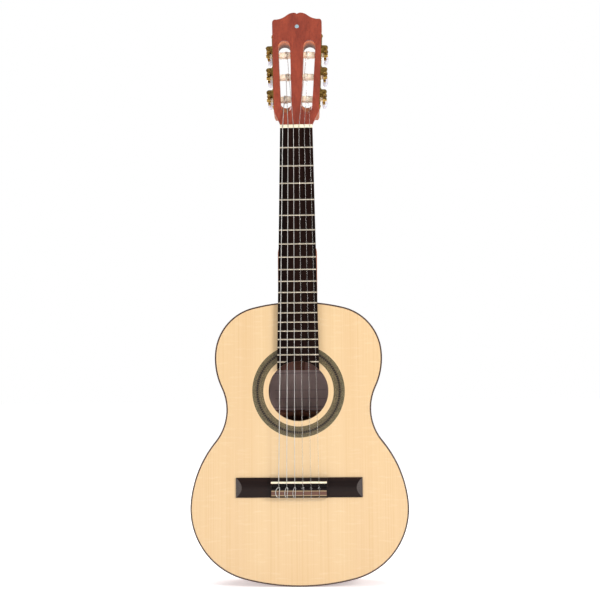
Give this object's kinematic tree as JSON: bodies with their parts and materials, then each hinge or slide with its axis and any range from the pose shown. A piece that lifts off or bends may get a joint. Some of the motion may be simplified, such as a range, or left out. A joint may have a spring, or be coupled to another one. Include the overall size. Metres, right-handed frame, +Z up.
{
  "type": "classical guitar",
  "caption": "Small classical guitar: figure-of-eight hollow body with round soundhole, fretted neck, tie bridge and slotted head with turning worm-gear tuners.",
  "frame": {"origin": "on the neck's face under the fretboard's top end, where the nut meets it, midway across; a wall hanger's yoke holds the neck here", "axes": "+Z up the neck from tail to head, +X to the treble side, -Y out of the soundboard, +Y to the back"},
  "size_m": [0.294, 0.0951, 0.7979],
  "materials": {
    "spruce": "glossy lacquer",
    "mahogany_back": "glossy lacquer",
    "neck_wood": "satin lacquer",
    "head_veneer": "glossy lacquer",
    "binding": "gloss",
    "rosette": "mosaic inlay",
    "inner_wood": "bare",
    "paper": "matt",
    "dark_wood": "satin",
    "trim": "satin",
    "board_wood": "satin",
    "bone": "polished",
    "fret_metal": "polished",
    "tuner_brass": "plated",
    "white_roller": "satin",
    "pearl": "pearly",
    "nylon": "clear",
    "wound_wire": "wound"
  },
  "bodies": {
    "guitar": {"soundboard": "spruce", "back": "mahogany_back", "rib_bass": "mahogany_back", "rib_treble": "mahogany_back", "top_binding": "binding", "back_binding": "binding", "rosette": "rosette", "linings": "inner_wood", "neck_block": "inner_wood", "tail_block": "inner_wood", "top_braces": "inner_wood", "back_braces": "inner_wood", "label": "paper", "bridge": "dark_wood", "saddle": "bone", "tie_block_trim": "trim", "neck": "neck_wood", "headplate": "head_veneer", "fretboard": "board_wood", "frets": "fret_metal", "nut": "bone", "tuner_plate_bass": "tuner_brass", "tuner_plate_treble": "tuner_brass", "tuner_screws": "tuner_brass", "string_1": "nylon", "string_2": "nylon", "string_3": "nylon", "string_4": "wound_wire", "string_5": "wound_wire", "string_6": "wound_wire"},
    "roller_1": {"barrel_1": "white_roller", "gear_1": "tuner_brass", "winding_1": "nylon"},
    "worm_1": {"worm_1": "tuner_brass", "button_1": "pearl"},
    "roller_2": {"barrel_2": "white_roller", "gear_2": "tuner_brass", "winding_2": "nylon"},
    "worm_2": {"worm_2": "tuner_brass", "button_2": "pearl"},
    "roller_3": {"barrel_3": "white_roller", "gear_3": "tuner_brass", "winding_3": "nylon"},
    "worm_3": {"worm_3": "tuner_brass", "button_3": "pearl"},
    "roller_4": {"barrel_4": "white_roller", "gear_4": "tuner_brass", "winding_4": "wound_wire"},
    "worm_4": {"worm_4": "tuner_brass", "button_4": "pearl"},
    "roller_5": {"barrel_5": "white_roller", "gear_5": "tuner_brass", "winding_5": "wound_wire"},
    "worm_5": {"worm_5": "tuner_brass", "button_5": "pearl"},
    "roller_6": {"barrel_6": "white_roller", "gear_6": "tuner_brass", "winding_6": "wound_wire"},
    "worm_6": {"worm_6": "tuner_brass", "button_6": "pearl"}
  },
  "joints": [
    {"name": "peg_1_turn", "type": "hinge", "parent": "guitar", "child": "worm_1", "pos_m": [0.03834, 0.02298, 0.05384], "axis": [0, -0.9659, 0.2588], "continuous": true},
    {"name": "roller_1_turn", "type": "hinge", "parent": "guitar", "child": "roller_1", "pos_m": [0.03189, 0.02069, 0.04532], "axis": [0.9996, -0.0073, -0.0273], "continuous": true},
    {"name": "peg_2_turn", "type": "hinge", "parent": "guitar", "child": "worm_2", "pos_m": [0.03933, 0.03204, 0.08765], "axis": [0, -0.9659, 0.2588], "continuous": true},
    {"name": "roller_2_turn", "type": "hinge", "parent": "guitar", "child": "roller_2", "pos_m": [0.03288, 0.02975, 0.07913], "axis": [0.9996, -0.0073, -0.0273], "continuous": true},
    {"name": "peg_3_turn", "type": "hinge", "parent": "guitar", "child": "worm_3", "pos_m": [0.04032, 0.04109, 0.12146], "axis": [0, -0.9659, 0.2588], "continuous": true},
    {"name": "roller_3_turn", "type": "hinge", "parent": "guitar", "child": "roller_3", "pos_m": [0.03387, 0.03881, 0.11294], "axis": [0.9996, -0.0073, -0.0273], "continuous": true},
    {"name": "peg_4_turn", "type": "hinge", "parent": "guitar", "child": "worm_4", "pos_m": [-0.04032, 0.04109, 0.12146], "axis": [0, -0.9659, 0.2588], "continuous": true},
    {"name": "roller_4_turn", "type": "hinge", "parent": "guitar", "child": "roller_4", "pos_m": [-0.03387, 0.03881, 0.11294], "axis": [-0.9996, -0.0073, -0.0273], "continuous": true},
    {"name": "peg_5_turn", "type": "hinge", "parent": "guitar", "child": "worm_5", "pos_m": [-0.03933, 0.03204, 0.08765], "axis": [0, -0.9659, 0.2588], "continuous": true},
    {"name": "roller_5_turn", "type": "hinge", "parent": "guitar", "child": "roller_5", "pos_m": [-0.03288, 0.02975, 0.07913], "axis": [-0.9996, -0.0073, -0.0273], "continuous": true},
    {"name": "peg_6_turn", "type": "hinge", "parent": "guitar", "child": "worm_6", "pos_m": [-0.03834, 0.02298, 0.05384], "axis": [0, -0.9659, 0.2588], "continuous": true},
    {"name": "roller_6_turn", "type": "hinge", "parent": "guitar", "child": "roller_6", "pos_m": [-0.03189, 0.02069, 0.04532], "axis": [-0.9996, -0.0073, -0.0273], "continuous": true}
  ],
  "couplings": [
    {"joint": "roller_1_turn", "follows": "peg_1_turn", "ratio": -0.071429},
    {"joint": "roller_2_turn", "follows": "peg_2_turn", "ratio": -0.071429},
    {"joint": "roller_3_turn", "follows": "peg_3_turn", "ratio": -0.071429},
    {"joint": "roller_4_turn", "follows": "peg_4_turn", "ratio": -0.071429},
    {"joint": "roller_5_turn", "follows": "peg_5_turn", "ratio": -0.071429},
    {"joint": "roller_6_turn", "follows": "peg_6_turn", "ratio": -0.071429}
  ]
}
